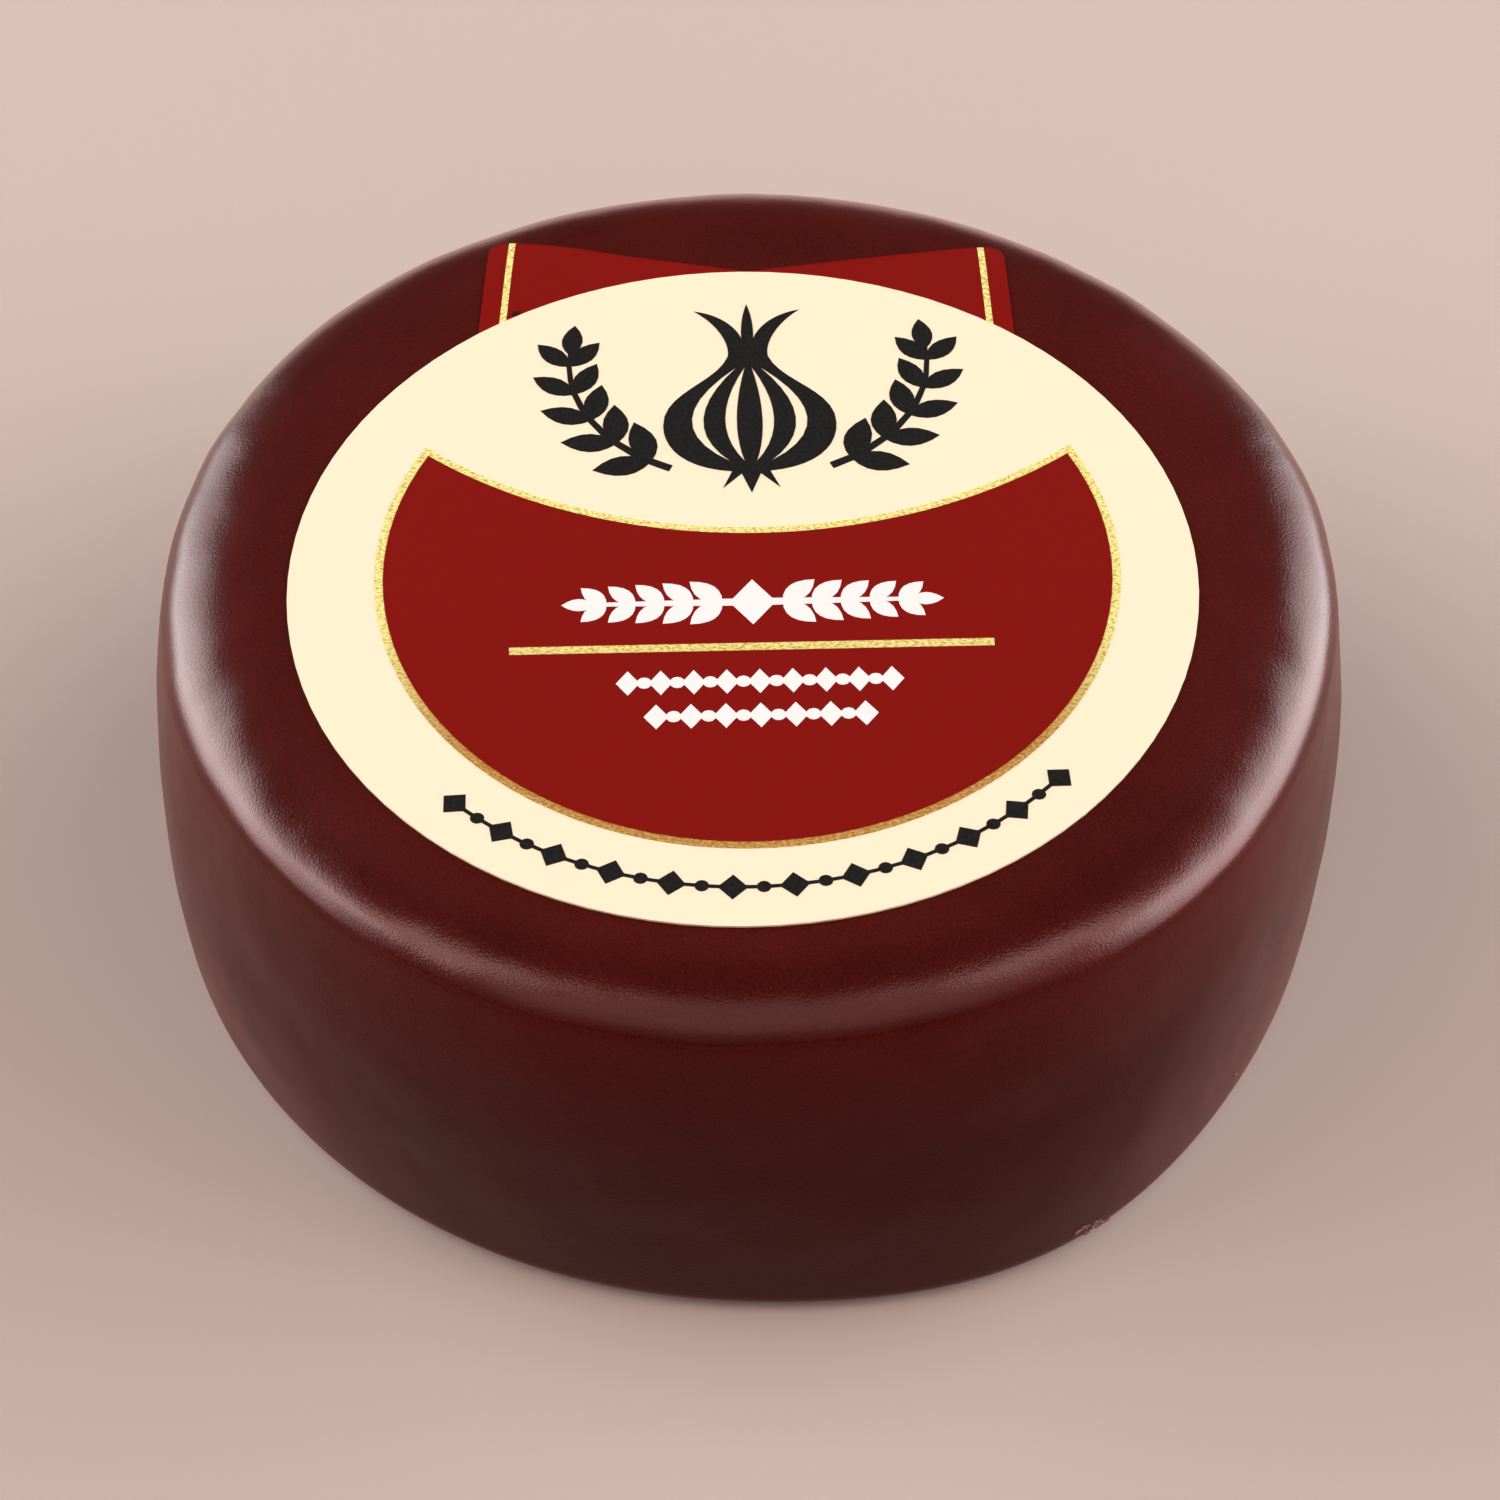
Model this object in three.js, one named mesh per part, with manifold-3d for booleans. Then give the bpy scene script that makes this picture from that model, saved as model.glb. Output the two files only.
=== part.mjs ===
// A small round cheese in a coat of dark red wax, with a round paper label and a swallow-tailed
// paper tab on its top. Millimetres, +Z up. The origin is on the base plane, under the middle of
// the outline. The shown front faces -Y.

import * as THREE from "three";
import { mergeVertices } from "three/addons/utils/BufferGeometryUtils.js";
import Module from "manifold-3d";

const wasm = await Module();
wasm.setup();

// The waxed cheese, a squat drum that is a little barrel-shaped and narrower at the top
const HEIGHT = 30.85;
const MID_RADIUS = 44.0;
const TAPER = 1.9;
const BARREL = 1.2;
const SHOULDER_RUN = 7.0;
const SHOULDER_DROP = 3.3;
const BASE_EDGE_RUN = 2.1;
const BASE_EDGE_RISE = 1.9;

// What makes the outline uneven, in millimetres and degrees. Slow lobes go round the top, and the
// base swells out at one place of the front and draws in beside it.
const TOP_LOBES = [
  { count: 2, swell: 0.2, toward: -52 },
  { count: 3, swell: 0.09, toward: 10 },
  { count: 6, swell: 0.11, toward: 15 },
];
const BASE_SWELLS = [
  { swell: 1.55, toward: -63, spread: 20 },
  { swell: -0.9, toward: -16, spread: 30 },
  { swell: -0.25, toward: -152, spread: 27 },
];

// Paper and print thicknesses
const GLUE = 0.03;
const TAB_PAPER = 0.06;
const LABEL_PAPER = 0.16;
const PRINT = 0.02;

// The round label and what is printed on it
const LABEL_RADIUS = 32.4;
const LABEL_CENTRE = new THREE.Vector2(-0.4, -2.15);
const PRINT_TURN = 0.8;
const FIELD_RADIUS = 26.6;
const FIELD_CENTRE = new THREE.Vector2(-0.05, -1.25);
const BITE_RADIUS = 37.2;
const BITE_CENTRE = new THREE.Vector2(0.3, 39.75);
const FOIL_LINE = 0.6;
const RULE_LENGTH = 34.0;
const RULE_WIDTH = 0.7;
const RULE_CENTRE = new THREE.Vector2(0.5, -7.15);

// The tab, whose inner end lies under the label
const TAB_INNER_Y = 20.5;
const TAB_INNER_HALF = 20.35;
const TAB_NOTCH = new THREE.Vector2(0.05, 30.35);
const TAB_LEFT_TIP = new THREE.Vector2(-19.7, 34.6);
const TAB_RIGHT_TIP = new THREE.Vector2(19.9, 33.4);
const TAB_CORNER = 1.35;
const TAB_FOIL_WIDTH = 0.5;
const TAB_FOIL_INSET = 1.75;
const TAB_SLOT_CLEARANCE = 0.6;

// The emblem of an onion between two leafy sprigs
const EMBLEM_CENTRE = new THREE.Vector2(0.85, 18.25);
const WREATH = { centreY: 4.0, halfWidth: 13.4, halfHeight: 12.6, from: -64, to: 6, leafPairs: 5 };
const WREATH_LEAF = { length: 4.5, width: 2.1 };

// The ornaments on the red field and round the label's lower edge
const DIVIDER = { centre: new THREE.Vector2(0.65, -2.8), length: 27.5, height: 4.4, leafPairs: 5 };
const DIVIDER_LEAF = { length: 3.2, width: 1.6 };
const DIVIDER_LOZENGE_WIDTH = 3.3;
const DIVIDER_STEM_START = 1.1;
const UPPER_ROW = { centre: new THREE.Vector2(1.0, -10.45), length: 20.7, height: 2.3, lozenges: 9 };
const LOWER_ROW = { centre: new THREE.Vector2(1.0, -13.65), length: 16.9, height: 2.3, lozenges: 7 };
const ARC_ROW = { radius: 29.05, height: 2.15, from: -133.3, to: -43.4, lozenges: 12 };
const HAIRLINE = 0.3;
const DOT_SHARE = 0.46;
const ROW_LOZENGE_SHARE = 0.72;
const ARC_LOZENGE_SHARE = 0.5;

// How a sprig grows
const STEM_WIDTH = 0.7;
const LEAF_SPREAD = THREE.MathUtils.degToRad(42);
const LEAF_BELLY = 0.45;
const SMALLEST_LEAF = 0.75;
const TIP_LEAF_START = 0.98;

// How finely the round shapes are cut
const DRUM_SIDES = 96;
const EDGE_STEPS = 5;
const WALL_STEPS = 8;
const DISC_SIDES = 96;
const ARC_STEPS = 32;
const LEAF_STEPS = 6;
const CURVE_STEPS = 10;
const DOT_SIDES = 12;
const SHEET_STEP = 1.6;
const MERGE_DISTANCE = 1e-4;

// One material for each stuff that the real piece is made of
function material(name, colour, roughness, metalness) {
  const made = new THREE.MeshStandardMaterial({ color: colour, roughness, metalness });
  made.name = name;
  return made;
}

const WAX = material("red_wax", "#4e1410", 0.4, 0.0);
const CREAM_PAPER = material("cream_paper", "#fff3d1", 0.75, 0.0);
const RED_PAPER = material("red_paper", "#8b1813", 0.7, 0.0);
const GOLD_FOIL = material("gold_foil", "#dcb86c", 0.4, 0.6);
const BLACK_INK = material("black_ink", "#1c1c1a", 0.7, 0.0);
const WHITE_INK = material("white_ink", "#ffffff", 0.7, 0.0);

// Joining and cutting

function solidOf(geometry) {
  const bare = geometry.clone();
  bare.deleteAttribute("normal");
  bare.deleteAttribute("uv");
  const merged = mergeVertices(bare, MERGE_DISTANCE);
  return new wasm.Manifold(
    new wasm.Mesh({
      numProp: 3,
      vertProperties: merged.getAttribute("position").array,
      triVerts: new Uint32Array(merged.index.array),
    }),
  );
}

function geometryOf(solid) {
  const mesh = solid.getMesh();
  const geometry = new THREE.BufferGeometry();
  geometry.setAttribute("position", new THREE.BufferAttribute(mesh.vertProperties, 3));
  geometry.setIndex(new THREE.BufferAttribute(mesh.triVerts, 1));
  geometry.computeVertexNormals();
  return geometry;
}

function joined(geometries) {
  return geometryOf(geometries.map(solidOf).reduce((whole, piece) => whole.add(piece)));
}

function flatPlate(shape, thickness, steps = CURVE_STEPS) {
  return new THREE.ExtrudeGeometry(shape, {
    depth: thickness,
    bevelEnabled: false,
    curveSegments: steps,
  });
}

// The waxed cheese

// How far the outline swells out at the top and at the base, at an angle in degrees
function topSwell(angle) {
  return TOP_LOBES.reduce(
    (sum, { count, swell, toward }) =>
      sum + swell * Math.cos(THREE.MathUtils.degToRad(count * (angle - toward))),
    0,
  );
}

function baseSwell(angle) {
  return BASE_SWELLS.reduce((sum, { swell, toward, spread }) => {
    const away = THREE.MathUtils.euclideanModulo(angle - toward + 180, 360) - 180;
    return sum + swell * Math.exp(-((away / spread) ** 2));
  }, 0);
}

// How much wider than a true circle the drum is in a direction, and at a height from 0 to 1
function outlineScale(x, y, height) {
  const angle = THREE.MathUtils.radToDeg(Math.atan2(y, x));
  const swell = height * topSwell(angle) + (1 - height) * baseSwell(angle);
  return 1 + swell / MID_RADIUS;
}

function wallRadius(z) {
  const level = z / HEIGHT;
  return MID_RADIUS - TAPER * (level - 0.5) - BARREL * (2 * level - 1) ** 2;
}

const SHOULDER_Z = HEIGHT - SHOULDER_DROP;
const FLAT_TOP_RADIUS = wallRadius(SHOULDER_Z) - SHOULDER_RUN;

function drumProfile() {
  const points = [new THREE.Vector2(0, 0)];
  const flatBaseRadius = wallRadius(BASE_EDGE_RISE) - BASE_EDGE_RUN;
  for (let i = 0; i <= EDGE_STEPS; i += 1) {
    const turn = (Math.PI / 2) * (i / EDGE_STEPS);
    const radius = flatBaseRadius + BASE_EDGE_RUN * Math.sin(turn);
    points.push(new THREE.Vector2(radius, BASE_EDGE_RISE * (1 - Math.cos(turn))));
  }
  for (let i = 1; i < WALL_STEPS; i += 1) {
    const z = THREE.MathUtils.lerp(BASE_EDGE_RISE, SHOULDER_Z, i / WALL_STEPS);
    points.push(new THREE.Vector2(wallRadius(z), z));
  }
  for (let i = 0; i <= EDGE_STEPS; i += 1) {
    const turn = (Math.PI / 2) * (i / EDGE_STEPS);
    const radius = FLAT_TOP_RADIUS + SHOULDER_RUN * Math.cos(turn);
    points.push(new THREE.Vector2(radius, SHOULDER_Z + SHOULDER_DROP * Math.sin(turn)));
  }
  points.push(new THREE.Vector2(0, HEIGHT));
  return points;
}

function waxedDrum() {
  const drum = new THREE.LatheGeometry(drumProfile(), DRUM_SIDES);
  drum.rotateX(Math.PI / 2);
  const place = drum.getAttribute("position");
  for (let i = 0; i < place.count; i += 1) {
    const x = place.getX(i);
    const y = place.getY(i);
    const z = place.getZ(i);
    const scale = outlineScale(x, y, z / HEIGHT);
    place.setXYZ(i, x * scale, y * scale, z);
  }
  drum.computeVertexNormals();
  return drum;
}

// The height of the wax under a point of its top
function topHeight(x, y) {
  const radius = Math.hypot(x, y) / outlineScale(x, y, 1);
  const out = Math.max(0, radius - FLAT_TOP_RADIUS) / SHOULDER_RUN;
  return SHOULDER_Z + SHOULDER_DROP * Math.sqrt(1 - out * out);
}

// The round label

function circleShape(radius) {
  const shape = new THREE.Shape();
  shape.absarc(0, 0, radius, 0, 2 * Math.PI, false);
  return shape;
}

// The disc has a shallow slot underneath, where it laps over the tab
function roundLabel() {
  const disc = flatPlate(circleShape(LABEL_RADIUS), LABEL_PAPER, DISC_SIDES / 2);
  disc.translate(LABEL_CENTRE.x, LABEL_CENTRE.y, HEIGHT);
  const slotDepth = GLUE + TAB_PAPER + PRINT;
  const slotWidth = 2 * (TAB_INNER_HALF + TAB_SLOT_CLEARANCE);
  const slotStart = TAB_INNER_Y - TAB_SLOT_CLEARANCE;
  const slotLength = LABEL_CENTRE.y + LABEL_RADIUS + 1 - slotStart;
  const slot = new THREE.BoxGeometry(slotWidth, slotLength, 2 * slotDepth);
  slot.translate(0, slotStart + slotLength / 2, HEIGHT);
  return geometryOf(solidOf(disc).subtract(solidOf(slot)));
}

// The part of one circle that a second circle leaves over, with the second one above the first
function crescentShape(centre, radius, biteCentre, biteRadius) {
  const across = biteCentre.clone().sub(centre);
  const distance = across.length();
  const tilt = across.angle();
  const reach = (radius ** 2 - biteRadius ** 2 + distance ** 2) / (2 * distance);
  const half = Math.acos(reach / radius);
  const biteHalf = Math.acos((distance - reach) / biteRadius);
  const shape = new THREE.Shape();
  shape.absarc(centre.x, centre.y, radius, tilt + half, tilt - half + 2 * Math.PI, false);
  const under = tilt + Math.PI;
  shape.absarc(biteCentre.x, biteCentre.y, biteRadius, under + biteHalf, under - biteHalf, true);
  return shape;
}

function foilCrescent() {
  const shape = crescentShape(FIELD_CENTRE, FIELD_RADIUS, BITE_CENTRE, BITE_RADIUS);
  return flatPlate(shape, PRINT, ARC_STEPS);
}

function redField() {
  const inner = FIELD_RADIUS - FOIL_LINE;
  const shape = crescentShape(FIELD_CENTRE, inner, BITE_CENTRE, BITE_RADIUS + FOIL_LINE);
  return flatPlate(shape, PRINT, ARC_STEPS);
}

// The tab

// A straight-ended strip with a notched tail whose two tips have rounded corners
function tabShape() {
  const innerLeft = new THREE.Vector2(-TAB_INNER_HALF, TAB_INNER_Y);
  const innerRight = new THREE.Vector2(TAB_INNER_HALF, TAB_INNER_Y);
  const shape = new THREE.Shape();
  shape.moveTo(innerLeft.x, innerLeft.y);
  shape.lineTo(innerRight.x, innerRight.y);
  roundedCorner(shape, innerRight, TAB_RIGHT_TIP, TAB_NOTCH, TAB_CORNER);
  shape.lineTo(TAB_NOTCH.x, TAB_NOTCH.y);
  roundedCorner(shape, TAB_NOTCH, TAB_LEFT_TIP, innerLeft, TAB_CORNER);
  shape.closePath();
  return shape;
}

// Goes from one point towards a corner, round it, and on towards the next point
function roundedCorner(shape, from, corner, to, radius) {
  const back = from.clone().sub(corner).normalize();
  const onward = to.clone().sub(corner).normalize();
  const setback = radius / Math.tan(Math.acos(back.dot(onward)) / 2);
  const start = corner.clone().addScaledVector(back, setback);
  const end = corner.clone().addScaledVector(onward, setback);
  shape.lineTo(start.x, start.y);
  shape.quadraticCurveTo(corner.x, corner.y, end.x, end.y);
}

// A thin sheet that follows the wax over the shoulder, before it is cut to its outline
function drapedSheet(lift, thickness) {
  const width = 2 * TAB_INNER_HALF + 2;
  const length = Math.max(TAB_LEFT_TIP.y, TAB_RIGHT_TIP.y) + 1 - TAB_INNER_Y;
  const sheet = new THREE.BoxGeometry(
    width,
    length,
    1,
    Math.ceil(width / SHEET_STEP),
    Math.ceil(length / SHEET_STEP),
    1,
  );
  const place = sheet.getAttribute("position");
  for (let i = 0; i < place.count; i += 1) {
    const x = place.getX(i);
    const y = place.getY(i) + TAB_INNER_Y - 0.5 + length / 2;
    const above = place.getZ(i) > 0 ? thickness : 0;
    place.setXYZ(i, x, y, topHeight(x, y) + lift + above);
  }
  return sheet;
}

// Cuts a sheet by an upright block with the given outline
function cutToOutline(solid, shape) {
  const block = flatPlate(shape, 2 * HEIGHT);
  return solid.intersect(solidOf(block));
}

function backTab() {
  return geometryOf(cutToOutline(solidOf(drapedSheet(GLUE, TAB_PAPER)), tabShape()));
}

// One foil line of the tab, which runs beside its left or its right edge
function tabFoil(side) {
  const tip = side < 0 ? TAB_LEFT_TIP : TAB_RIGHT_TIP;
  const near = new THREE.Vector2(side * TAB_INNER_HALF, TAB_INNER_Y);
  const along = tip.clone().sub(near).normalize();
  const inward = new THREE.Vector2(-side * along.y, side * along.x);
  const outer = near.clone().addScaledVector(inward, TAB_FOIL_INSET - TAB_FOIL_WIDTH / 2);
  const inner = outer.clone().addScaledVector(inward, TAB_FOIL_WIDTH);
  const beyond = along.clone().multiplyScalar(2 * (tip.y - TAB_INNER_Y));
  const strip = new THREE.Shape([outer, inner, inner.clone().add(beyond), outer.clone().add(beyond)]);
  const paper = solidOf(drapedSheet(GLUE, TAB_PAPER));
  const foil = solidOf(drapedSheet(GLUE + TAB_PAPER / 2, TAB_PAPER / 2 + PRINT)).subtract(paper);
  return geometryOf(cutToOutline(cutToOutline(foil, tabShape()), strip));
}

// Ornaments, all drawn flat

// A pointed oval from its base at a point, in a direction in radians
function leafShape(base, direction, length, width) {
  const along = new THREE.Vector2(Math.cos(direction), Math.sin(direction));
  const aside = new THREE.Vector2(-along.y, along.x);
  const tip = base.clone().addScaledVector(along, length);
  const belly = base.clone().addScaledVector(along, length * LEAF_BELLY);
  const left = belly.clone().addScaledVector(aside, width);
  const right = belly.clone().addScaledVector(aside, -width);
  const shape = new THREE.Shape();
  shape.moveTo(base.x, base.y);
  shape.quadraticCurveTo(right.x, right.y, tip.x, tip.y);
  shape.quadraticCurveTo(left.x, left.y, base.x, base.y);
  return shape;
}

function lozengeShape(centre, width, height, turn) {
  const corners = [
    new THREE.Vector2(width / 2, 0),
    new THREE.Vector2(0, height / 2),
    new THREE.Vector2(-width / 2, 0),
    new THREE.Vector2(0, -height / 2),
  ];
  const origin = new THREE.Vector2(0, 0);
  return new THREE.Shape(corners.map((corner) => corner.rotateAround(origin, turn).add(centre)));
}

function dotShape(centre, radius) {
  const corners = [];
  for (let i = 0; i < DOT_SIDES; i += 1) {
    const turn = (2 * Math.PI * i) / DOT_SIDES;
    corners.push(new THREE.Vector2(radius * Math.cos(turn), radius * Math.sin(turn)).add(centre));
  }
  return new THREE.Shape(corners);
}

// A ribbon along a curve that narrows from its first width to its last
function ribbonShape(curve, firstWidth, lastWidth, steps) {
  const near = [];
  const far = [];
  for (let i = 0; i <= steps; i += 1) {
    const t = i / steps;
    const middle = curve.getPoint(t);
    const tangent = curve.getTangent(t);
    const aside = new THREE.Vector2(-tangent.y, tangent.x);
    const half = THREE.MathUtils.lerp(firstWidth, lastWidth, t) / 2;
    near.push(middle.clone().addScaledVector(aside, -half));
    far.unshift(middle.clone().addScaledVector(aside, half));
  }
  return new THREE.Shape([...near, ...far]);
}

// A stem with pairs of leaves that get smaller towards its tip, and one leaf on the tip
function sprig(curve, stemWidth, pairs, leaf) {
  const shapes = [ribbonShape(curve, stemWidth, stemWidth / 2, CURVE_STEPS)];
  for (let i = 0; i < pairs; i += 1) {
    const t = (i + 0.5) / pairs;
    const base = curve.getPoint(t);
    const heading = curve.getTangent(t).angle();
    const size = THREE.MathUtils.lerp(1, SMALLEST_LEAF, t);
    for (const spread of [-LEAF_SPREAD, LEAF_SPREAD]) {
      shapes.push(leafShape(base, heading + spread, leaf.length * size, leaf.width * size));
    }
  }
  const tip = curve.getPoint(TIP_LEAF_START);
  const last = curve.getTangent(1).angle();
  shapes.push(leafShape(tip, last, leaf.length * SMALLEST_LEAF, leaf.width * SMALLEST_LEAF));
  return joined(shapes.map((shape) => flatPlate(shape, PRINT, LEAF_STEPS)));
}

function emblemSprig(side) {
  const from = THREE.MathUtils.degToRad(side < 0 ? 180 - WREATH.from : WREATH.from);
  const to = THREE.MathUtils.degToRad(side < 0 ? 180 - WREATH.to : WREATH.to);
  const { centreY, halfWidth, halfHeight } = WREATH;
  const curve = new THREE.EllipseCurve(0, centreY, halfWidth, halfHeight, from, to, side < 0, 0);
  return sprig(curve, STEM_WIDTH, WREATH.leafPairs, WREATH_LEAF);
}

// A bulb with a root tuft, a neck and three short shoots, with slits where its skin has veins
function emblemBulb() {
  const shape = new THREE.Shape();
  shape.moveTo(1.4, -7.75);
  shape.bezierCurveTo(4.7, -7.4, 6.4, -5.4, 6.4, -2.8);
  shape.bezierCurveTo(6.4, 0.8, 2.4, 1.7, 1.5, 4.6);
  shape.bezierCurveTo(1.3, 6.0, 2.2, 8.2, 4.0, 9.7);
  shape.bezierCurveTo(2.1, 9.3, 0.9, 8.0, 0.45, 6.6);
  shape.bezierCurveTo(0.5, 8.2, 0.3, 9.4, 0.0, 10.4);
  shape.bezierCurveTo(-0.3, 9.4, -0.5, 8.2, -0.45, 6.6);
  shape.bezierCurveTo(-0.9, 8.0, -2.1, 9.3, -4.0, 9.7);
  shape.bezierCurveTo(-2.2, 8.2, -1.3, 6.0, -1.5, 4.6);
  shape.bezierCurveTo(-2.4, 1.7, -6.4, 0.8, -6.4, -2.8);
  shape.bezierCurveTo(-6.4, -5.4, -4.7, -7.4, -1.4, -7.75);
  shape.lineTo(-2.1, -9.5);
  shape.lineTo(-0.7, -8.0);
  shape.lineTo(0, -10.0);
  shape.lineTo(0.7, -8.0);
  shape.lineTo(2.1, -9.5);
  shape.closePath();
  const plate = solidOf(flatPlate(shape, PRINT));
  const slits = [-1, 1].flatMap((side) => [
    veinSlit(side * 0.45, side * 2.4, side * 0.25),
    veinSlit(side * 1.5, side * 6.5, side * 0.85),
  ]);
  return geometryOf(slits.reduce((whole, slit) => whole.subtract(slit), plate));
}

// A slit from the foot of the bulb to its neck, widest where it bows out most
function veinSlit(footX, bowX, neckX) {
  const footY = -6.7;
  const bowY = -2.6;
  const neckY = 3.4;
  const gape = 0.85 * Math.sign(bowX);
  const slit = new THREE.Shape();
  slit.moveTo(footX, footY);
  slit.quadraticCurveTo(bowX + gape, bowY, neckX, neckY);
  slit.quadraticCurveTo(bowX - gape, bowY, footX, footY);
  const block = flatPlate(slit, 3 * PRINT);
  block.translate(0, 0, -PRINT);
  return solidOf(block);
}

// A tall lozenge between two leafy sprigs that lie along one line
function whiteDivider() {
  const stemEnd = DIVIDER.length / 2 - DIVIDER_LEAF.length * SMALLEST_LEAF;
  const plates = [-1, 1].map((side) => {
    const stem = new THREE.LineCurve(
      new THREE.Vector2(side * DIVIDER_STEM_START, 0),
      new THREE.Vector2(side * stemEnd, 0),
    );
    return sprig(stem, STEM_WIDTH, DIVIDER.leafPairs, DIVIDER_LEAF);
  });
  const middle = new THREE.Vector2(0, 0);
  const lozenge = lozengeShape(middle, DIVIDER_LOZENGE_WIDTH, DIVIDER.height, 0);
  return joined([flatPlate(lozenge, PRINT), ...plates]);
}

// Lozenges with dots between them, threaded on a hairline
function lozengeRow(row) {
  const pitch = row.length / row.lozenges;
  const shapes = [];
  for (let i = 0; i < row.lozenges; i += 1) {
    const centre = new THREE.Vector2((i - (row.lozenges - 1) / 2) * pitch, 0);
    shapes.push(lozengeShape(centre, pitch * ROW_LOZENGE_SHARE, row.height, 0));
    if (i > 0) {
      const between = new THREE.Vector2(centre.x - pitch / 2, 0);
      shapes.push(dotShape(between, (row.height * DOT_SHARE) / 2));
    }
  }
  shapes.push(barShape((row.lozenges - 1) * pitch, HAIRLINE));
  return joined(shapes.map((shape) => flatPlate(shape, PRINT)));
}

function barShape(length, width) {
  const halfLength = length / 2;
  const halfWidth = width / 2;
  return new THREE.Shape([
    new THREE.Vector2(-halfLength, -halfWidth),
    new THREE.Vector2(halfLength, -halfWidth),
    new THREE.Vector2(halfLength, halfWidth),
    new THREE.Vector2(-halfLength, halfWidth),
  ]);
}

// The same ornament bent round the label, between the red field and the label's edge
function lozengeArc() {
  const from = THREE.MathUtils.degToRad(ARC_ROW.from);
  const to = THREE.MathUtils.degToRad(ARC_ROW.to);
  const pitch = (to - from) / (ARC_ROW.lozenges - 1);
  const width = ARC_ROW.radius * pitch * ARC_LOZENGE_SHARE;
  const shapes = [];
  const placeAt = (angle) =>
    new THREE.Vector2(ARC_ROW.radius * Math.cos(angle), ARC_ROW.radius * Math.sin(angle));
  for (let i = 0; i < ARC_ROW.lozenges; i += 1) {
    const angle = from + i * pitch;
    shapes.push(lozengeShape(placeAt(angle), ARC_ROW.height, width, angle));
    if (i > 0) {
      shapes.push(dotShape(placeAt(angle - pitch / 2), (ARC_ROW.height * DOT_SHARE) / 2));
    }
  }
  const path = new THREE.EllipseCurve(0, 0, ARC_ROW.radius, ARC_ROW.radius, from, to, false, 0);
  shapes.push(ribbonShape(path, HAIRLINE, HAIRLINE, 2 * ARC_ROW.lozenges));
  return joined(shapes.map((shape) => flatPlate(shape, PRINT)));
}

// The whole piece

function addMesh(group, name, geometry, stuff, x = 0, y = 0, z = 0) {
  const mesh = new THREE.Mesh(geometry, stuff);
  mesh.name = name;
  mesh.position.set(x, y, z);
  group.add(mesh);
  return mesh;
}

const cheese = new THREE.Group();
const drum = addMesh(cheese, "waxed_cheese", waxedDrum(), WAX);
addMesh(cheese, "back_tab", backTab(), RED_PAPER);
addMesh(cheese, "tab_foil_left", tabFoil(-1), GOLD_FOIL);
addMesh(cheese, "tab_foil_right", tabFoil(1), GOLD_FOIL);
addMesh(cheese, "round_label", roundLabel(), CREAM_PAPER);

const labelTop = HEIGHT + LABEL_PAPER;
addMesh(cheese, "foil_crescent", foilCrescent(), GOLD_FOIL, 0, 0, labelTop);
addMesh(cheese, "red_field", redField(), RED_PAPER, 0, 0, labelTop + PRINT);

// The print is turned a little on the label
const print = new THREE.Group();
print.position.set(LABEL_CENTRE.x, LABEL_CENTRE.y, labelTop);
print.rotation.z = THREE.MathUtils.degToRad(PRINT_TURN);
cheese.add(print);

const emblem = new THREE.Group();
emblem.position.set(EMBLEM_CENTRE.x, EMBLEM_CENTRE.y, 0);
print.add(emblem);
addMesh(emblem, "emblem_bulb", emblemBulb(), BLACK_INK);
addMesh(emblem, "emblem_sprig_left", emblemSprig(-1), BLACK_INK);
addMesh(emblem, "emblem_sprig_right", emblemSprig(1), BLACK_INK);
addMesh(print, "arc_row", lozengeArc(), BLACK_INK);

const onField = 2 * PRINT;
const rule = flatPlate(barShape(RULE_LENGTH, RULE_WIDTH), PRINT);
addMesh(print, "foil_rule", rule, GOLD_FOIL, RULE_CENTRE.x, RULE_CENTRE.y, onField);
addMesh(print, "divider", whiteDivider(), WHITE_INK, DIVIDER.centre.x, DIVIDER.centre.y, onField);
for (const [name, row] of [["upper_row", UPPER_ROW], ["lower_row", LOWER_ROW]]) {
  addMesh(print, name, lozengeRow(row), WHITE_INK, row.centre.x, row.centre.y, onField);
}

// The uneven outline is centred on the origin
drum.geometry.computeBoundingBox();
const middle = drum.geometry.boundingBox.getCenter(new THREE.Vector3());
cheese.position.set(-middle.x, -middle.y, 0);

const part = new THREE.Group();
part.add(cheese);

export default part;
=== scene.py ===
import math
import random

import bpy
from bpy.props import FloatProperty, FloatVectorProperty, IntProperty, PointerProperty
from mathutils import Matrix, Vector


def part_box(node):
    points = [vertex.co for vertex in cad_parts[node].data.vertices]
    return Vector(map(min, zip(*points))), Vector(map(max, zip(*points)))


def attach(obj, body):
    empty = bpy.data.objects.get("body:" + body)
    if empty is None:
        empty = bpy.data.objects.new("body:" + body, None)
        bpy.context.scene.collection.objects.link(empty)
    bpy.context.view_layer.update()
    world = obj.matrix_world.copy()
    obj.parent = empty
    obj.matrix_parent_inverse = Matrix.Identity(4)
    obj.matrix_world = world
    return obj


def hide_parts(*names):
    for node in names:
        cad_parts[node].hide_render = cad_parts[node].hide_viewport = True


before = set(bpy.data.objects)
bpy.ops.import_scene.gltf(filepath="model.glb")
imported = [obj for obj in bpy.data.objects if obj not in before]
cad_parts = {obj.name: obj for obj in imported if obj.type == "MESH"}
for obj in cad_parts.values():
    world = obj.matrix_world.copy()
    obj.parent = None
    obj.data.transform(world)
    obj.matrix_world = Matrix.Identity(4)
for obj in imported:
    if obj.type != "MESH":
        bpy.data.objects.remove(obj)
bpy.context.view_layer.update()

bl_info = {
    "name": "Waxed Cheese Wheel",
    "version": (1, 0, 0),
    "blender": (4, 5, 0),
    "location": "View3D > Sidebar > Cheese",
    "description": "Models a wax-dipped cheese wheel and its paper label, in a small studio",
    "category": "Object",
}

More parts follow.
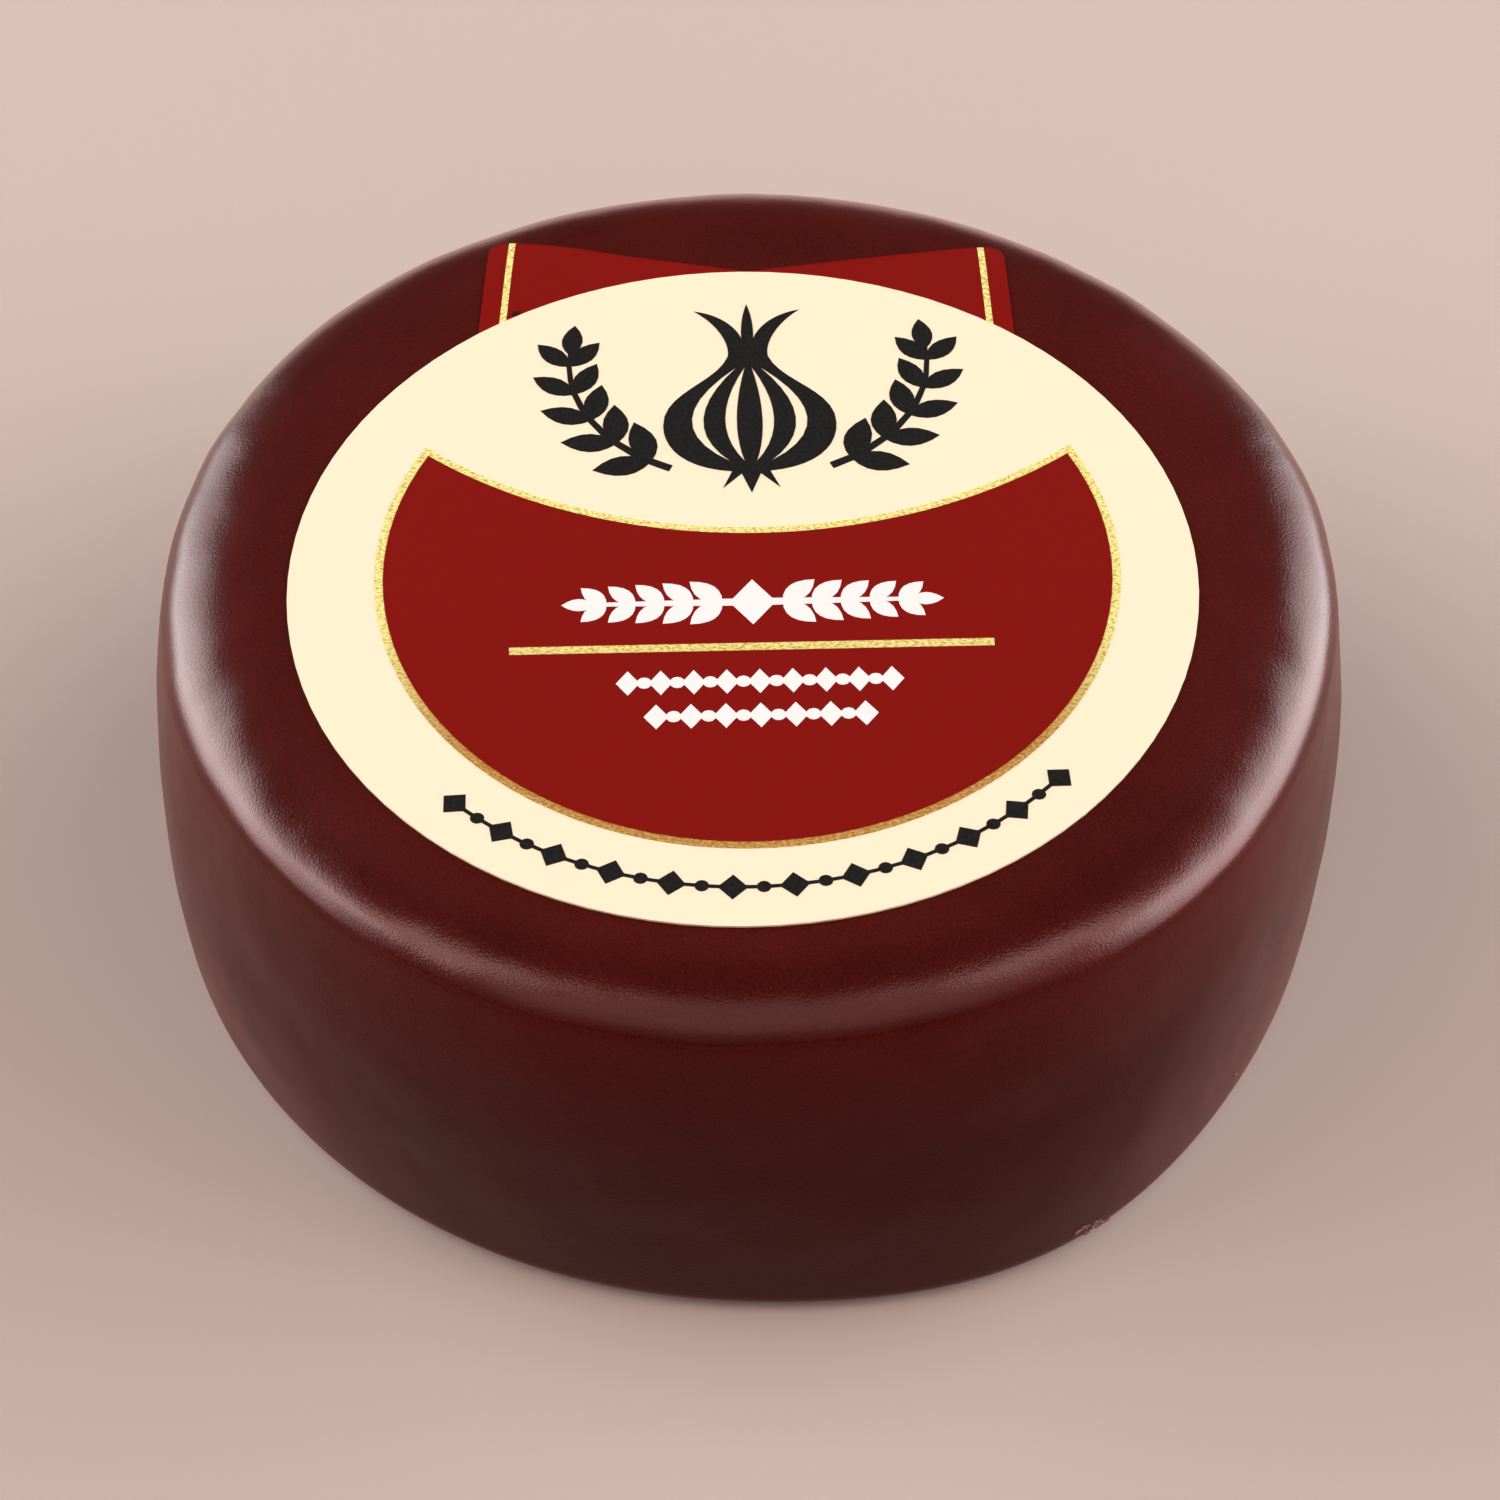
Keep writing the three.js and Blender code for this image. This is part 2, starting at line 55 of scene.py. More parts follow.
MM = 0.001
WAX_LOW, WAX_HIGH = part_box("waxed_cheese")
LABEL_LOW, LABEL_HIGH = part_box("round_label")

# The wax drum, in metres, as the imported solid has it. Its wall narrows towards the top by the taper
# and bulges by the barrel
HEIGHT = WAX_HIGH.z
MID_RADIUS = 44.0 * MM
TAPER = 1.9 * MM
BARREL = 1.2 * MM
SHOULDER_RUN = 7.0 * MM
SHOULDER_DROP = 3.3 * MM
BASE_EDGE_RUN = 2.1 * MM
BASE_EDGE_RISE = 1.9 * MM
SHOULDER_Z = HEIGHT - SHOULDER_DROP

# The slow lobes of the outline's top (count, swell, direction in degrees), and the local swells of
# its base (swell, direction, spread)
TOP_LOBES = ((2, 0.2 * MM, -52), (3, 0.09 * MM, 10), (6, 0.11 * MM, 15))
BASE_SWELLS = ((1.55 * MM, -63, 20), (-0.9 * MM, -16, 30), (-0.25 * MM, -152, 27))

# The paper on the top
LABEL_CENTRE = (LABEL_LOW + LABEL_HIGH) / 2
LABEL_RADIUS = (LABEL_HIGH.x - LABEL_LOW.x) / 2
GLUE = 0.03 * MM
TAB_PAPER = 0.06 * MM
PRINT = 0.02 * MM

# How finely the wax is cut before two rounds of subdivision. The rings of its flat base and top are
# given by their radius in mm
DRUM_SIDES = 128
BASE_RINGS = (6.0, 20.0, 36.0, 40.5)
EDGE_STEPS = 5
WALL_STEPS = 8
SHOULDER_STEPS = 8
TOP_RINGS = (34.6, 33.0, 25.0, 12.0, 3.0)

# The wax keeps level under the label and flat on its base. It begins to wander, and wanders fully,
# at these distances from the label's edge and above the table
LEVEL_TO_WANDERING = (0.3 * MM, 4 * MM)
FLAT_TO_WANDERING = (0.5 * MM, 9 * MM)
# The flat top is what lies within this depth of the full height
TOP_DEPTH = 0.2 * MM


def linear(hex_colour):
    """An sRGB hex colour as linear red, green, blue and alpha."""
    channels = [int(hex_colour[i : i + 2], 16) / 255 for i in (1, 3, 5)]
    bends = [c / 12.92 if c <= 0.04045 else ((c + 0.055) / 1.055) ** 2.4 for c in channels]
    return (*bends, 1.0)


def toned(colour, share):
    """A linear colour at a share of its brightness."""
    return (*(channel * share for channel in colour[:3]), 1.0)


def between(low, high, share):
    """A value at a share of the way from one to another."""
    return low + (high - low) * share


def smooth_step(low, high, value):
    """0 up to a low value and 1 from a high one, with an even rise between them."""
    t = min(1.0, max(0.0, (value - low) / (high - low)))
    return t * t * (3 - 2 * t)


# The form of the wax drum


def wall_radius(z):
    """The wall's radius at a height, before the drum's slow lobes and swells."""
    level = z / HEIGHT
    return MID_RADIUS - TAPER * (level - 0.5) - BARREL * (2 * level - 1) ** 2


FLAT_TOP_RADIUS = wall_radius(SHOULDER_Z) - SHOULDER_RUN

# The levels and the turn in degrees at which the outline is measured to find its middle
AXIS_LEVELS = 8
AXIS_TURN = 3


def outline_scale(x, y, z):
    """How much wider than a true circle the drum is in a direction, at a height."""
    angle = math.degrees(math.atan2(y, x))
    level = z / HEIGHT
    top = sum(
        swell * math.cos(math.radians(count * (angle - toward)))
        for count, swell, toward in TOP_LOBES
    )
    base = 0.0
    for swell, toward, spread in BASE_SWELLS:
        away = (angle - toward + 180) % 360 - 180
        base += swell * math.exp(-((away / spread) ** 2))
    return 1 + (level * top + (1 - level) * base) / MID_RADIUS


def drum_axis():
    """Where the drum's axis stands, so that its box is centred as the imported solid's is."""
    xs, ys = [], []
    for z in (HEIGHT * i / AXIS_LEVELS for i in range(AXIS_LEVELS + 1)):
        for angle in (math.radians(i) for i in range(0, 360, AXIS_TURN)):
            x, y = wall_radius(z) * math.cos(angle), wall_radius(z) * math.sin(angle)
            scale = outline_scale(x, y, z)
            xs.append(x * scale)
            ys.append(y * scale)
    middle = (WAX_LOW + WAX_HIGH) / 2
    return Vector((middle.x - (min(xs) + max(xs)) / 2, middle.y - (min(ys) + max(ys)) / 2, 0))


AXIS = drum_axis()


def drum_profile():
    """The drum's rings as radius and height, from the middle of the base round to the top's."""
    rings = [(radius * MM, 0.0) for radius in BASE_RINGS]
    flat_base_radius = wall_radius(BASE_EDGE_RISE) - BASE_EDGE_RUN
    for i in range(EDGE_STEPS + 1):
        turn = math.pi / 2 * i / EDGE_STEPS
        height = BASE_EDGE_RISE * (1 - math.cos(turn))
        rings.append((flat_base_radius + BASE_EDGE_RUN * math.sin(turn), height))
    for i in range(1, WALL_STEPS):
        z = between(BASE_EDGE_RISE, SHOULDER_Z, i / WALL_STEPS)
        rings.append((wall_radius(z), z))
    for i in range(SHOULDER_STEPS + 1):
        turn = math.pi / 2 * i / SHOULDER_STEPS
        radius = FLAT_TOP_RADIUS + SHOULDER_RUN * math.cos(turn)
        rings.append((radius, SHOULDER_Z + SHOULDER_DROP * math.sin(turn)))
    rings += [(radius * MM, HEIGHT) for radius in TOP_RINGS]
    return rings


# Shared modelling steps


def start_piece():
    """Leaves edit mode and deselects everything, so that an operator acts on its own piece."""
    if bpy.context.object and bpy.context.object.mode != "OBJECT":
        bpy.ops.object.mode_set(mode="OBJECT")
    bpy.ops.object.select_all(action="DESELECT")


def select_pieces(pieces):
    """Selects pieces, with the first of them active."""
    start_piece()
    for piece in pieces:
        piece.select_set(True)
    bpy.context.view_layer.objects.active = pieces[0]


def edit_all(piece):
    """Goes into edit mode on a piece, with all of it selected."""
    select_pieces([piece])
    bpy.ops.object.mode_set(mode="EDIT")
    bpy.ops.mesh.select_all(action="SELECT")


def apply_modifier(piece, name, kind, **settings):
    """Adds a modifier with its settings and applies it."""
    modifier = piece.modifiers.new(name, kind)
    for key, value in settings.items():
        setattr(modifier, key, value)
    bpy.context.view_layer.objects.active = piece
    bpy.ops.object.modifier_apply(modifier=modifier.name)


def clouds(name, size):
    """A smooth noise texture for relief, with lumps of about a given size."""
    texture = bpy.data.textures.new(name, type="CLOUDS")
    texture.noise_basis = "IMPROVED_PERLIN"
    texture.noise_scale = size
    texture.noise_depth = 1
    return texture


def finish_piece(piece, name, slot, material, *nodes):
    """Names a piece, gives it its material, and ties it to the frame."""
    piece.name = name
    piece.data.name = name
    piece.data.materials.clear()
    piece.data.materials.append(material)
    if nodes:
        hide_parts(*nodes)
    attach(piece, "root")


# Shared material steps

# The sockets of a Mix node that mixes colours
MIX_FIRST, MIX_SECOND, MIX_RESULT = 6, 7, 2


def set_inputs(tree, made, inputs):
    """Sets a node's inputs; each is a value, or another node's output to link."""
    for key, value in inputs.items():
        if isinstance(value, bpy.types.NodeSocket):
            tree.links.new(value, made.inputs[key])
        else:
            made.inputs[key].default_value = value


def node(tree, kind, output, inputs, stops=(), **settings):
    """Adds a node with its inputs, settings and ramp stops, and gives one of its outputs."""
    made = tree.nodes.new("ShaderNode" + kind)
    for key, value in settings.items():
        setattr(made, key, value)
    set_inputs(tree, made, inputs)
    for i, (place, colour) in enumerate(stops):
        elements = made.color_ramp.elements
        element = elements[i] if i < 2 else elements.new(place)
        element.position, element.color = place, colour
    return made.outputs[output]


def new_material(name):
    """A material with the usual surface shader; gives the material, its tree and the shader."""
    material = bpy.data.materials.new(name)
    material.use_nodes = True
    return material, material.node_tree, material.node_tree.nodes["Principled BSDF"]


# Materials

# Where the hand-polished shoulder begins, out from the middle, and where its film ends, going down
POLISH_BEGINS = (36.3 * MM, 38.6 * MM)
FILM_ENDS = (28.0 * MM, 29.4 * MM)
# Going down between these heights the wall's colour grows darker, and below the lower one it is fully
# darkened: painted shade on the wall
WALL_SHADE_HEIGHTS = (16 * MM, 27 * MM)
# The slow unevenness of a dipped coat, across and deep
RIPPLE_SIZE = 2.5 * MM
RIPPLE_DEPTH = 0.03 * MM
# The grain's depth, the part of its noise that shows, and how dark and bright it speckles the wax
GRAIN_DEPTH = 0.02 * MM
GRAIN_SHOWS = (0.35, 0.65)
SPECKLE = (0.68, 1.28)
# How far the wax's roughness wanders either way
ROUGHNESS_WANDERS = 0.03
# The part of a noise's range that holds most of it
MOST_OF_NOISE = (0.3, 0.7)


def dipped_cheese_wax(settings):
    """Paraffin-blend cheese wax, dipped hot and left to cool.

    It looks deep burgundy and satin: a smooth film glints on the shoulder, and the flat top and
    the wall are duller. Its colour is cloudy, with a fine grain, and darker towards the foot: painted
    shade on the wall.
    """
    material, tree, shader = new_material("dipped_cheese_wax")
    place = node(tree, "TexCoord", "Object", {})
    height = node(tree, "SeparateXYZ", "Z", {"Vector": place})
    level_place = node(tree, "Mapping", "Vector", {"Vector": place, "Scale": (1, 1, 0)})
    from_middle = node(tree, "VectorMath", "Value", {0: level_place}, operation="LENGTH")

    cloudy = node(tree, "TexNoise", "Fac", {"Vector": place, "Scale": 1 / settings.cloud_size})
    colour = node(
        tree,
        "ValToRGB",
        "Color",
        {"Fac": cloudy},
        zip(MOST_OF_NOISE, (settings.deep_colour, settings.clear_colour)),
    )
    grain = node(
        tree,
        "TexNoise",
        "Fac",
        {"Vector": place, "Scale": 1 / settings.grain_size, "Roughness": 0.6},
    )
    speckle = node(
        tree,
        "MapRange",
        "Result",
        {
            "Value": grain,
            "From Min": GRAIN_SHOWS[0],
            "From Max": GRAIN_SHOWS[1],
            "To Min": SPECKLE[0],
            "To Max": SPECKLE[1],
        },
    )
    # Painted shade: the wall's colour darkens towards the foot
    painted_wall_shade = node(
        tree,
        "MapRange",
        "Result",
        {
            "Value": height,
            "From Min": WALL_SHADE_HEIGHTS[0],
            "From Max": WALL_SHADE_HEIGHTS[1],
            "To Min": 1 - settings.wall_shade_share,
            "To Max": 1.0,
        },
    )
    for share in (painted_wall_shade, speckle):
        colour = node(tree, "VectorMath", "Vector", {0: colour, "Scale": share}, operation="SCALE")

    ripple = node(tree, "TexNoise", "Fac", {"Vector": place, "Scale": 1 / RIPPLE_SIZE})
    normal = node(
        tree, "Bump", "Normal", {"Height": ripple, "Distance": RIPPLE_DEPTH, "Strength": 0.35}
    )
    normal = node(
        tree,
        "Bump",
        "Normal",
        {
            "Height": grain,
            "Distance": GRAIN_DEPTH,
            "Strength": settings.grain_strength,
            "Normal": normal,
        },
    )

    polish = node(
        tree,
        "MapRange",
        "Result",
        {"Value": from_middle, "From Min": POLISH_BEGINS[0], "From Max": POLISH_BEGINS[1]},
    )
    film_left = node(
        tree,
        "MapRange",
        "Result",
        {
            "Value": height,
            "From Min": FILM_ENDS[0],
            "From Max": FILM_ENDS[1],
            "To Min": settings.wall_film_weight,
            "To Max": settings.film_weight,
        },
    )
    film = node(tree, "Math", "Value", {0: polish, 1: film_left}, operation="MULTIPLY")
    matteness = node(
        tree,
        "MapRange",
        "Result",
        {"Value": polish, "To Min": settings.top_roughness, "To Max": settings.roughness},
    )
    unevenness = node(
        tree,
        "MapRange",
        "Result",
        {
            "Value": cloudy,
            "From Min": MOST_OF_NOISE[0],
            "From Max": MOST_OF_NOISE[1],
            "To Min": -ROUGHNESS_WANDERS,
            "To Max": ROUGHNESS_WANDERS,
        },
    )
    roughness = node(tree, "Math", "Value", {0: matteness, 1: unevenness}, operation="ADD")
    set_inputs(
        tree,
        shader,
        {
            "Base Color": colour,
            "Roughness": roughness,
            "Normal": normal,
            "IOR": 1.44,
            "Specular IOR Level": 0.38,
            "Specular Tint": settings.haze_tint,
            "Coat Weight": film,
            "Coat Normal": normal,
            "Coat Roughness": settings.film_roughness,
            "Coat IOR": 1.5,
            "Sheen Weight": 0.12,
            "Sheen Roughness": 0.35,
            "Sheen Tint": linear("#ff3c28"),
        },
    )
    return material


# Wax that tears breaks into crumbs of about this size
CRUMB_SIZE = 0.15 * MM


def torn_cheese_wax():
    """Cheese wax where it tore: whitened, crumbly and dull."""
    material, tree, shader = new_material("torn_cheese_wax")
    place = node(tree, "TexCoord", "Object", {})
    crumbs = node(
        tree,
        "TexNoise",
        "Fac",
        {"Vector": place, "Scale": 1 / CRUMB_SIZE, "Detail": 3.0, "Roughness": 0.6},
    )
    stops = ((0.35, linear("#3f1a16")), (0.5, linear("#6e4a44")), (0.65, linear("#98786f")))
    set_inputs(
        tree,
        shader,
        {
            "Base Color": node(tree, "ValToRGB", "Color", {"Fac": crumbs}, stops),
            "Normal": node(
                tree, "Bump", "Normal", {"Height": crumbs, "Distance": 0.04 * MM, "Strength": 0.8}
            ),
            "Roughness": 0.75,
            "IOR": 1.44,
        },
    )
    return material


# Real fibres are about 0.03 mm wide, too fine to show, so they are drawn as clumps of this size
FIBRE_SIZE = 0.35 * MM
# The paper's tone wanders in clouds of this size
PAPER_CLOUD_SIZE = 6 * MM
# How much darker its fibres and clouds are
PAPER_FLECK = 0.03
# Uncoated paper and the ink on it are this matte
MATTE_PRINT = {"Roughness": 0.8, "IOR": 1.47, "Specular IOR Level": 0.06}


def uncoated_label_paper(name, colour):
    """Uncoated label paper, printed edge to edge: matte, its tone faintly fibrous and cloudy."""
    material, tree, shader = new_material(name)
    place = node(tree, "TexCoord", "Object", {})
    along = node(tree, "Mapping", "Vector", {"Vector": place, "Scale": (1, 2.5, 1)})
    fibres = node(
        tree,
        "TexNoise",
        "Fac",
        {"Vector": along, "Scale": 1 / FIBRE_SIZE, "Detail": 4.0, "Roughness": 0.65},
    )
    stops = zip(MOST_OF_NOISE, (toned(colour, 1 - PAPER_FLECK), toned(colour, 1)))
    tone = node(tree, "ValToRGB", "Color", {"Fac": fibres}, stops)
    clouding = node(tree, "TexNoise", "Fac", {"Vector": place, "Scale": 1 / PAPER_CLOUD_SIZE})
    cloud_share = node(
        tree,
        "MapRange",
        "Result",
        {
            "Value": clouding,
            "From Min": MOST_OF_NOISE[0],
            "From Max": MOST_OF_NOISE[1],
            "To Max": PAPER_FLECK,
        },
    )
    clouded = {"Factor": cloud_share, MIX_FIRST: tone, MIX_SECOND: toned(colour, 0.9)}
    set_inputs(
        tree,
        shader,
        {
            "Base Color": node(tree, "Mix", MIX_RESULT, clouded, data_type="RGBA"),
            "Normal": node(
                tree, "Bump", "Normal", {"Height": fibres, "Distance": 0.01 * MM, "Strength": 0.25}
            ),
            **MATTE_PRINT,
        },
    )
    return material


# Rough paper takes less ink in flecks of about this size
INK_FLECK_SIZE = 0.25 * MM


def printed_ink(name, colour):
    """Offset ink on paper: dense and matte, thinner in flecks where the paper took less."""
    material, tree, shader = new_material(name)
    place = node(tree, "TexCoord", "Object", {})
    wear = node(
        tree,
        "TexNoise",
        "Fac",
        {"Vector": place, "Scale": 1 / INK_FLECK_SIZE, "Detail": 3.0, "Roughness": 0.6},
    )
    paler = (*(min(1.0, channel * 0.96 + 0.01) for channel in colour[:3]), 1.0)
    stops = ((0.35, colour), (0.75, paler))
    set_inputs(
        tree,
        shader,
        {
            "Base Color": node(tree, "ValToRGB", "Color", {"Fac": wear}, stops),
            "Normal": node(
                tree, "Bump", "Normal", {"Height": wear, "Distance": 0.005 * MM, "Strength": 0.2}
            ),
            **MATTE_PRINT,
        },
    )
    return material


# Foil pressed onto paper crinkles in specks of about this size
CRINKLE_SIZE = 0.32 * MM
# The foil's low, middle and high tones. Towards the label's front it is deeper: the tones turn
# from deep to pale between these two places, going back
FOIL_DEEP = ("#a8742c", "#bf8e42", "#d8b068")
FOIL_PALE = ("#d2b056", "#fef48f", "#ffffb4")
FOIL_TURNS = (-18 * MM, -7 * MM)


def gold_foil_print(settings):
    """Hot-stamped gold foil: crinkled in specks that glint, and deeper in tone at the front."""
    material, tree, shader = new_material("gold_foil_print")
    place = node(tree, "TexCoord", "Object", {})
    turned = node(
        tree, "Mapping", "Vector", {"Vector": place, "Rotation": (0, 0, 0.6), "Scale": (1, 1.8, 1)}
    )
    crinkle = node(
        tree,
        "TexNoise",
        "Fac",
        {"Vector": turned, "Scale": 1 / CRINKLE_SIZE, "Detail": 3.0, "Roughness": 0.65},
    )
    pale_stops = zip((0.4, 0.49, 0.6), map(linear, FOIL_PALE))
    deep_stops = zip((0.4, 0.5, 0.6), map(linear, FOIL_DEEP))
    toward_back = node(
        tree,
        "MapRange",
        "Result",
        {
            "Value": node(tree, "SeparateXYZ", "Y", {"Vector": place}),
            "From Min": FOIL_TURNS[0],
            "From Max": FOIL_TURNS[1],
        },
    )
    tones = {
        "Factor": toward_back,
        MIX_FIRST: node(tree, "ValToRGB", "Color", {"Fac": crinkle}, deep_stops),
        MIX_SECOND: node(tree, "ValToRGB", "Color", {"Fac": crinkle}, pale_stops),
    }
    set_inputs(
        tree,
        shader,
        {
            "Base Color": node(tree, "Mix", MIX_RESULT, tones, data_type="RGBA"),
            "Normal": node(
                tree, "Bump", "Normal", {"Height": crinkle, "Distance": 0.03 * MM, "Strength": 0.5}
            ),
            "Metallic": settings.metal_share,
            "Roughness": 0.5,
        },
    )
    return material


# How wide the clouds in the card's tone are, in metres
BOARD_MOTTLE = 0.4


def matte_board(settings):
    """Pale matte card under the object, faintly uneven in tone."""
    material, tree, shader = new_material("pale_matte_board")
    place = node(tree, "TexCoord", "Object", {})
    unevenness = node(tree, "TexNoise", "Fac", {"Vector": place, "Scale": 1 / BOARD_MOTTLE})
    stops = zip(MOST_OF_NOISE, (toned(settings.floor_colour, 0.97), settings.floor_colour))
    set_inputs(
        tree,
        shader,
        {
            "Base Color": node(tree, "ValToRGB", "Color", {"Fac": unevenness}, stops),
            "Roughness": 0.9,
            "Specular IOR Level": 0.1,
        },
    )
    return material


# Settings that a user would change


class WaxCoatSettings(bpy.types.PropertyGroup):
    broad_dent: FloatProperty(
        name="Broad dents",
        description="How deep the slow hollows of the dipped wax are",
        default=0.45 * MM,
        min=0.0,
        unit="LENGTH",
    )
    broad_dent_size: FloatProperty(
        name="Broad dent size",
        description="How wide the slow hollows are",
        default=11 * MM,
        min=1 * MM,
        unit="LENGTH",
    )
    small_lump: FloatProperty(
        name="Small lumps",
        description="How high the small lumps of the wax are",
        default=0.09 * MM,
        min=0.0,
        unit="LENGTH",
    )
    small_lump_size: FloatProperty(
        name="Small lump size",
        description="How wide the small lumps are",
        default=4 * MM,
        min=1 * MM,
        unit="LENGTH",
    )
    clear_colour: FloatVectorProperty(
        name="Wax colour",
        description="The wax where it is thin and clear",
        subtype="COLOR",
        size=4,
        min=0.0,
        max=1.0,
        default=linear("#3f0a05"),
    )
    deep_colour: FloatVectorProperty(
        name="Deep wax colour",
        description="The wax where it is thick",
        subtype="COLOR",
        size=4,
        min=0.0,
        max=1.0,
        default=linear("#380803"),
    )
    # Painted shade: how much darker the wall's colour is made towards the foot
    wall_shade_share: FloatProperty(
        name="Drained wax",
        description="How much darker the wall is, where the wax drained down and set thicker",
        subtype="FACTOR",
        default=0.62,
        min=0.0,
        max=1.0,
    )
    cloud_size: FloatProperty(
        name="Cloud size",
        description="How wide the clouds in the wax's colour are",
        default=9 * MM,
        min=0.1 * MM,
        unit="LENGTH",
    )
    roughness: FloatProperty(
        name="Roughness",
        description="How matte the wax is under its smooth film",
        subtype="FACTOR",
        default=0.3,
        min=0.0,
        max=1.0,
    )
    top_roughness: FloatProperty(
        name="Top roughness",
        description="How matte the flat top is, inside the polished shoulder",
        subtype="FACTOR",
        default=0.6,
        min=0.0,
        max=1.0,
    )
    haze_tint: FloatVectorProperty(
        name="Haze tint",
        description="The colour of the wide glow round a highlight",
        subtype="COLOR",
        size=4,
        min=0.0,
        max=1.0,
        default=linear("#ff6159"),
    )
    film_weight: FloatProperty(
        name="Film weight",
        description="How strongly the smooth film on the shoulder shines",
        subtype="FACTOR",
        default=1.0,
        min=0.0,
        max=1.0,
    )
    wall_film_weight: FloatProperty(
        name="Wall film weight",
        description="How strongly the film shines on the wall, where hands have rubbed it duller",
        subtype="FACTOR",
        default=0.02,
        min=0.0,
        max=1.0,
    )
    film_roughness: FloatProperty(
        name="Film roughness",
        description="How soft a highlight of the smooth film is",
        subtype="FACTOR",
        default=0.14,
        min=0.0,
        max=1.0,
    )
    grain_size: FloatProperty(
        name="Grain size",
        description="How wide one grain of the wax's fine texture is",
        default=0.18 * MM,
        min=0.01 * MM,
        unit="LENGTH",
    )
    grain_strength: FloatProperty(
        name="Grain strength",
        description="How strongly the fine grain breaks up a highlight",
        subtype="FACTOR",
        default=0.9,
        min=0.0,
        max=1.0,
    )


class LabelSettings(bpy.types.PropertyGroup):
    cream: FloatVectorProperty(
        name="Label paper",
        description="The bare paper of the round label",
        subtype="COLOR",
        size=4,
        min=0.0,
        max=1.0,
        default=linear("#efdec1"),
    )
    red: FloatVectorProperty(
        name="Red print",
        description="The red of the label's field and of the tab",
        subtype="COLOR",
        size=4,
        min=0.0,
        max=1.0,
        default=linear("#780d07"),
    )
    black: FloatVectorProperty(
        name="Black print",
        description="The black of the emblem and of the ornament on the cream rim",
        subtype="COLOR",
        size=4,
        min=0.0,
        max=1.0,
        default=linear("#151513"),
    )
    white: FloatVectorProperty(
        name="White print",
        description="The white of the ornaments on the red field",
        subtype="COLOR",
        size=4,
        min=0.0,
        max=1.0,
        default=linear("#e4e2e0"),
    )
    metal_share: FloatProperty(
        name="Foil metal",
        description="How much of the foil shines as metal rather than as ink",
        subtype="FACTOR",
        default=0.35,
        min=0.0,
        max=1.0,
    )


class TabSettings(bpy.types.PropertyGroup):
    corner: FloatProperty(
        name="Corner radius",
        description="How far back from each tip of the tab its corner is rounded",
        default=1.35 * MM,
        min=0.1 * MM,
        unit="LENGTH",
    )
    foil_width: FloatProperty(
        name="Foil line width",
        description="How wide each foil line of the tab is",
        default=0.5 * MM,
        min=0.1 * MM,
        unit="LENGTH",
    )
    foil_inset: FloatProperty(
        name="Foil line inset",
        description="How far in from the tab's side the middle of its foil line runs",
        default=1.75 * MM,
        min=0.5 * MM,
        unit="LENGTH",
    )
    cut_step: FloatProperty(
        name="Cut step",
        description="How finely the tab is cut so that it can bend over the shoulder",
        default=0.6 * MM,
        min=0.2 * MM,
        unit="LENGTH",
    )


class MarkSettings(bpy.types.PropertyGroup):
    flakes: IntProperty(
        name="Flakes",
        description="How many torn flakes of wax lie in the strip along the foot",
        default=16,
        min=2,
    )
    flake_depth: FloatProperty(
        name="Flake depth",
        description="How thick a torn flake is",
        default=0.17 * MM,
        min=0.05 * MM,
        unit="LENGTH",
    )
    raggedness: FloatProperty(
        name="Raggedness",
        description="How deep the ragged skin of a flake is",
        default=0.1 * MM,
        min=0.0,
        unit="LENGTH",
    )


class StudioSettings(bpy.types.PropertyGroup):
    floor_colour: FloatVectorProperty(
        name="Floor",
        description="The pale floor",
        subtype="COLOR",
        size=4,
        min=0.0,
        max=1.0,
        default=linear("#bcada5"),
    )
    side_radiance: FloatProperty(
        name="Side light",
        description="How bright the two side softboxes are",
        default=6.5,
        min=0.0,
    )
    front_radiance: FloatProperty(
        name="Front light",
        description="How bright the large dim light over the front is",
        default=0.8,
        min=0.0,
    )
    room_radiance: FloatProperty(
        name="Room light",
        description="How bright the room is all round",
        default=0.05,
        min=0.0,
    )


# The wax coat


def raise_drum(rings):
    """Extrudes a circle through the drum's rings, open at the middle of its base and of its top."""
    start_piece()
    radius, z = rings[0]
    bpy.ops.mesh.primitive_circle_add(
        vertices=DRUM_SIDES, radius=radius, fill_type="NGON", location=(0, 0, 0)
    )
    drum = bpy.context.object
    edit_all(drum)
    for next_radius, next_z in rings[1:]:
        bpy.ops.mesh.extrude_region_move(TRANSFORM_OT_translate={"value": (0, 0, next_z - z)})
        scale = next_radius / radius
        bpy.ops.transform.resize(value=(scale, scale, 1), center_override=(0, 0, next_z))
        radius, z = next_radius, next_z
    bpy.ops.mesh.select_all(action="DESELECT")
    bpy.ops.mesh.select_face_by_sides(number=DRUM_SIDES, type="EQUAL")
    bpy.ops.mesh.delete(type="FACE")
    bpy.ops.object.mode_set(mode="OBJECT")
    return drum


def relief_weight(place):
    """How much the wax may wander at a place: not under the paper, and not on the flat base."""
    from_label = math.hypot(place.x - LABEL_CENTRE.x, place.y - LABEL_CENTRE.y) - LABEL_RADIUS
    on_top = smooth_step(HEIGHT - TOP_DEPTH, HEIGHT, place.z)
    off_label = smooth_step(*LEVEL_TO_WANDERING, from_label)
    off_base = smooth_step(*FLAT_TO_WANDERING, place.z)
    return off_base * (1 - on_top * (1 - off_label))


